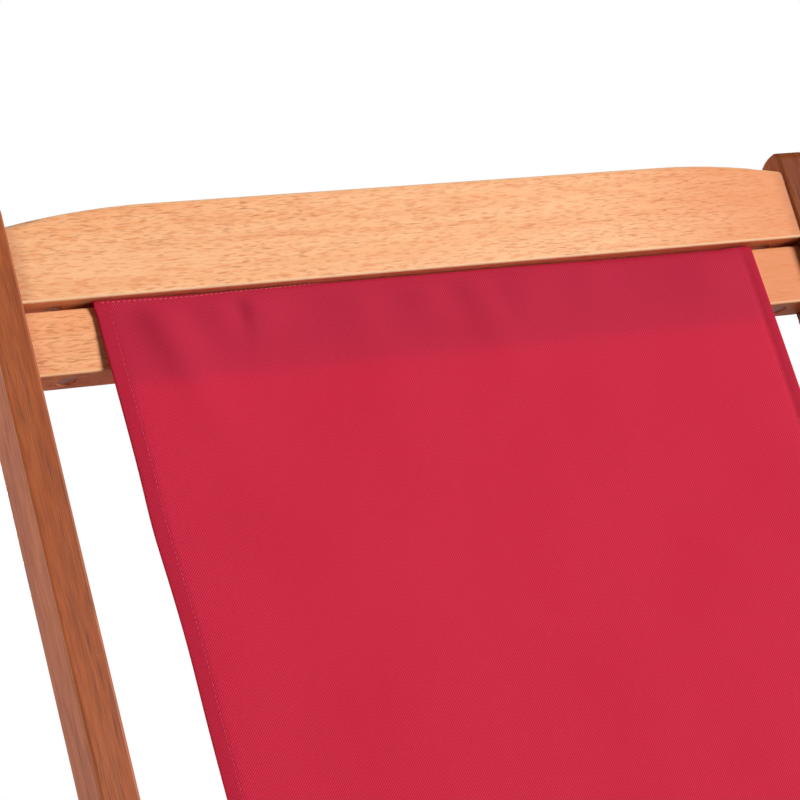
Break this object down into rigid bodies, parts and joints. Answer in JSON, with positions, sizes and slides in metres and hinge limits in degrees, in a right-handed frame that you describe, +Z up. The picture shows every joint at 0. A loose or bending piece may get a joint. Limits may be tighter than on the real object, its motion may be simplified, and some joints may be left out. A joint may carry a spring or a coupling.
{
  "type": "folding deck chair",
  "caption": "Wooden folding deck chair with a cloth sling hung from slotted rails, three hinged frames and a notched prop.",
  "frame": {"origin": "on the floor under the middle of the open chair", "axes": "+Z up, -Y the way the sitter faces, +X to the sitter's left; left and right in node names are as seen from the front"},
  "size_m": [0.6, 0.9463, 1.0114],
  "materials": {
    "rail_wood": "oiled light hardwood",
    "stile_wood": "oiled red-brown hardwood",
    "sling_cloth": "crimson cotton twill",
    "zinc_steel": "zinc plated",
    "nut_steel": "dull oxidised zinc"
  },
  "bodies": {
    "back_frame": {"back_stile_left": "stile_wood", "back_stile_right": "stile_wood", "head_rail": "rail_wood", "head_sling_rail": "rail_wood", "foot_rail": "rail_wood", "head_rod": "rail_wood", "sling": "sling_cloth", "head_barrel_nuts": "nut_steel", "head_joint_bolts": "zinc_steel", "foot_rail_screws": "zinc_steel", "seat_pivot_bolts": "zinc_steel", "seat_pivot_washers": "zinc_steel", "seat_pivot_spacers": "zinc_steel", "seat_pivot_nuts": "zinc_steel", "prop_pivot_bolts": "zinc_steel", "prop_pivot_washers": "zinc_steel", "prop_pivot_spacers": "zinc_steel", "prop_pivot_nuts": "zinc_steel"},
    "seat_frame": {"seat_stile_left": "stile_wood", "seat_stile_right": "stile_wood", "knee_rail": "rail_wood", "knee_sling_rail": "rail_wood", "rear_stretcher": "rail_wood", "knee_rod": "rail_wood", "knee_barrel_nuts": "nut_steel", "knee_joint_bolts": "zinc_steel", "stretcher_barrel_nuts": "nut_steel", "stretcher_bolts": "zinc_steel"},
    "prop_frame": {"prop_stile_left": "stile_wood", "prop_stile_right": "stile_wood", "prop_bar": "rail_wood", "prop_bar_pins": "zinc_steel"}
  },
  "joints": [
    {"name": "seat_fold", "type": "hinge", "parent": "back_frame", "child": "seat_frame", "pos_m": [0, -0.17893, 0.27165], "axis": [1, 0, 0], "range_deg": [0, 79.5], "deforming": ["sling"]},
    {"name": "prop_swing", "type": "hinge", "parent": "back_frame", "child": "prop_frame", "pos_m": [0, -0.07592, 0.44308], "axis": [1, 0, 0], "range_deg": [0, 104.1]}
  ],
  "couplings": [
    {"joint": "prop_swing", "follows": "seat_fold", "ratio": 1.3083}
  ]
}
